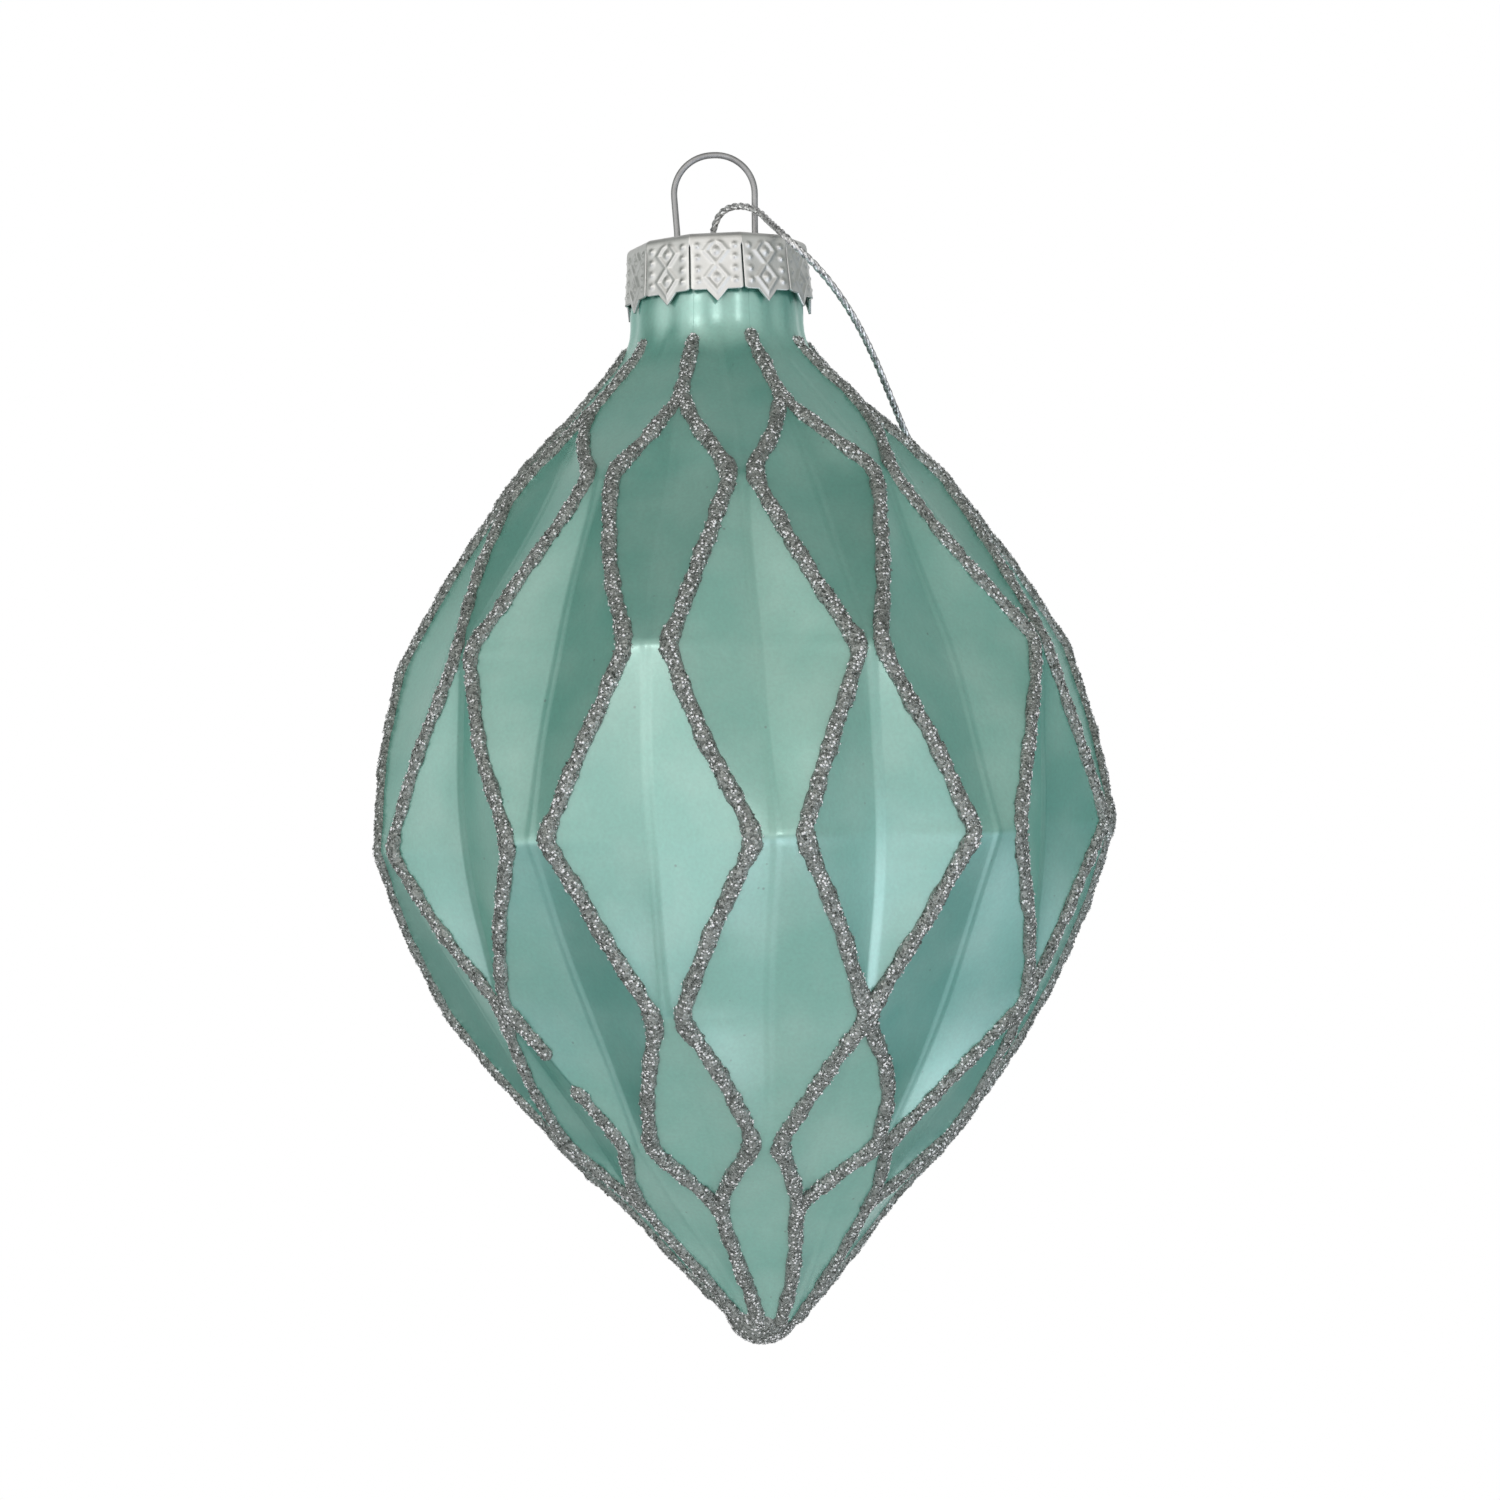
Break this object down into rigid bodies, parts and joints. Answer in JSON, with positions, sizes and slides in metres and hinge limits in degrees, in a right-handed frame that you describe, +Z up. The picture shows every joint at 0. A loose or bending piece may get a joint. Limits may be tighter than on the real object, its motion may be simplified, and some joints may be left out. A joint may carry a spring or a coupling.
{
  "type": "glass hanging ornament",
  "caption": "Long faceted blown-glass bauble with diamond relief, raised glitter lines, crown cap, sprung wire hanger and a looped metallic cord.",
  "frame": {"origin": "inside top of the wire hanger's loop, the point that a hook carries", "axes": "+Z up along the bauble's axis, through the cap and the hanger's loop; -Y is the front; the hanger's loop lies in the XZ plane"},
  "size_m": [0.085, 0.0866, 0.1408],
  "materials": {
    "lacquered_glass": "satin mint-green lacquer over silvered glass",
    "glitter": "coarse silver glitter set in clear glue",
    "cap_metal": "satin stamped sheet",
    "wire": "bright spring wire",
    "cord": "twisted metallised cord"
  },
  "bodies": {
    "glass": {"glass_shell": "lacquered_glass", "glitter_tip": "glitter", "glitter_line_01": "glitter", "glitter_line_02": "glitter", "glitter_line_03": "glitter", "glitter_line_04": "glitter", "glitter_line_05": "glitter", "glitter_line_06": "glitter", "glitter_line_07": "glitter", "glitter_line_08": "glitter", "glitter_line_09": "glitter", "glitter_line_10": "glitter"},
    "cap": {"cap": "cap_metal"},
    "hanger": {"wire_hanger": "wire", "cord": "cord", "cord_knot": "cord"}
  },
  "joints": [
    {"name": "cap_lift", "type": "slide", "parent": "glass", "child": "cap", "axis": [0, 0, 1], "range_m": [0, 0.024]},
    {"name": "hanger_pull", "type": "slide", "parent": "cap", "child": "hanger", "axis": [0, 0, 1], "range_m": [0, 0.004], "stiffness_N_per_m": 200}
  ]
}
